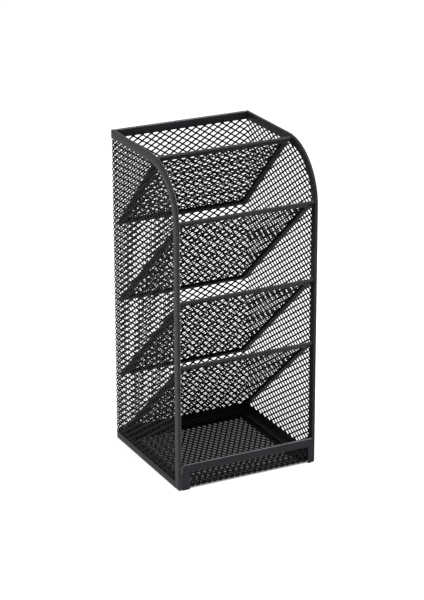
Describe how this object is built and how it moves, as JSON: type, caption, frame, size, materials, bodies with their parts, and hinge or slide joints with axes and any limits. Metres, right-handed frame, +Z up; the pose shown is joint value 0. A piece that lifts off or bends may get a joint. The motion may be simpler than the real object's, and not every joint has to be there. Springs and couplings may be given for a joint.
{
  "type": "desk organiser",
  "caption": "Upright desk organiser of black expanded steel mesh: open-fronted tower with folded rims, slanted pockets one above another and a lipped tray at the base.",
  "frame": {"origin": "centre of the base, on the surface that the organiser stands on", "axes": "+Z up, +Y from the open front to the back wall, +X to the right seen from the front"},
  "size_m": [0.1, 0.0966, 0.2175],
  "materials": {
    "rim_paint": "black satin powder coat",
    "strip_paint": "black satin powder coat",
    "net_paint": "black powder coat on expanded mesh"
  },
  "bodies": {
    "root": {"left_wall_mesh": "net_paint", "back_wall_mesh": "net_paint", "right_wall_mesh": "net_paint", "left_side_rim": "rim_paint", "right_side_rim": "rim_paint", "back_top_rim": "rim_paint", "left_base_angle": "strip_paint", "right_base_angle": "strip_paint", "back_base_angle": "strip_paint", "floor_mesh": "net_paint", "floor_left_strip": "strip_paint", "floor_right_strip": "strip_paint", "floor_back_strip": "strip_paint", "lip_mesh": "net_paint", "lip_top_rim": "rim_paint", "lip_left_strip": "strip_paint", "lip_right_strip": "strip_paint", "pocket_1_mesh": "net_paint", "pocket_1_front_rim": "rim_paint", "pocket_1_left_edge": "strip_paint", "pocket_1_right_edge": "strip_paint", "pocket_1_bottom_edge": "strip_paint", "pocket_2_mesh": "net_paint", "pocket_2_front_rim": "rim_paint", "pocket_2_left_edge": "strip_paint", "pocket_2_right_edge": "strip_paint", "pocket_2_bottom_edge": "strip_paint", "pocket_3_mesh": "net_paint", "pocket_3_front_rim": "rim_paint", "pocket_3_left_edge": "strip_paint", "pocket_3_right_edge": "strip_paint", "pocket_3_bottom_edge": "strip_paint", "pocket_4_mesh": "net_paint", "pocket_4_front_rim": "rim_paint", "pocket_4_left_edge": "strip_paint", "pocket_4_right_edge": "strip_paint", "pocket_4_bottom_edge": "strip_paint"}
  },
  "joints": []
}
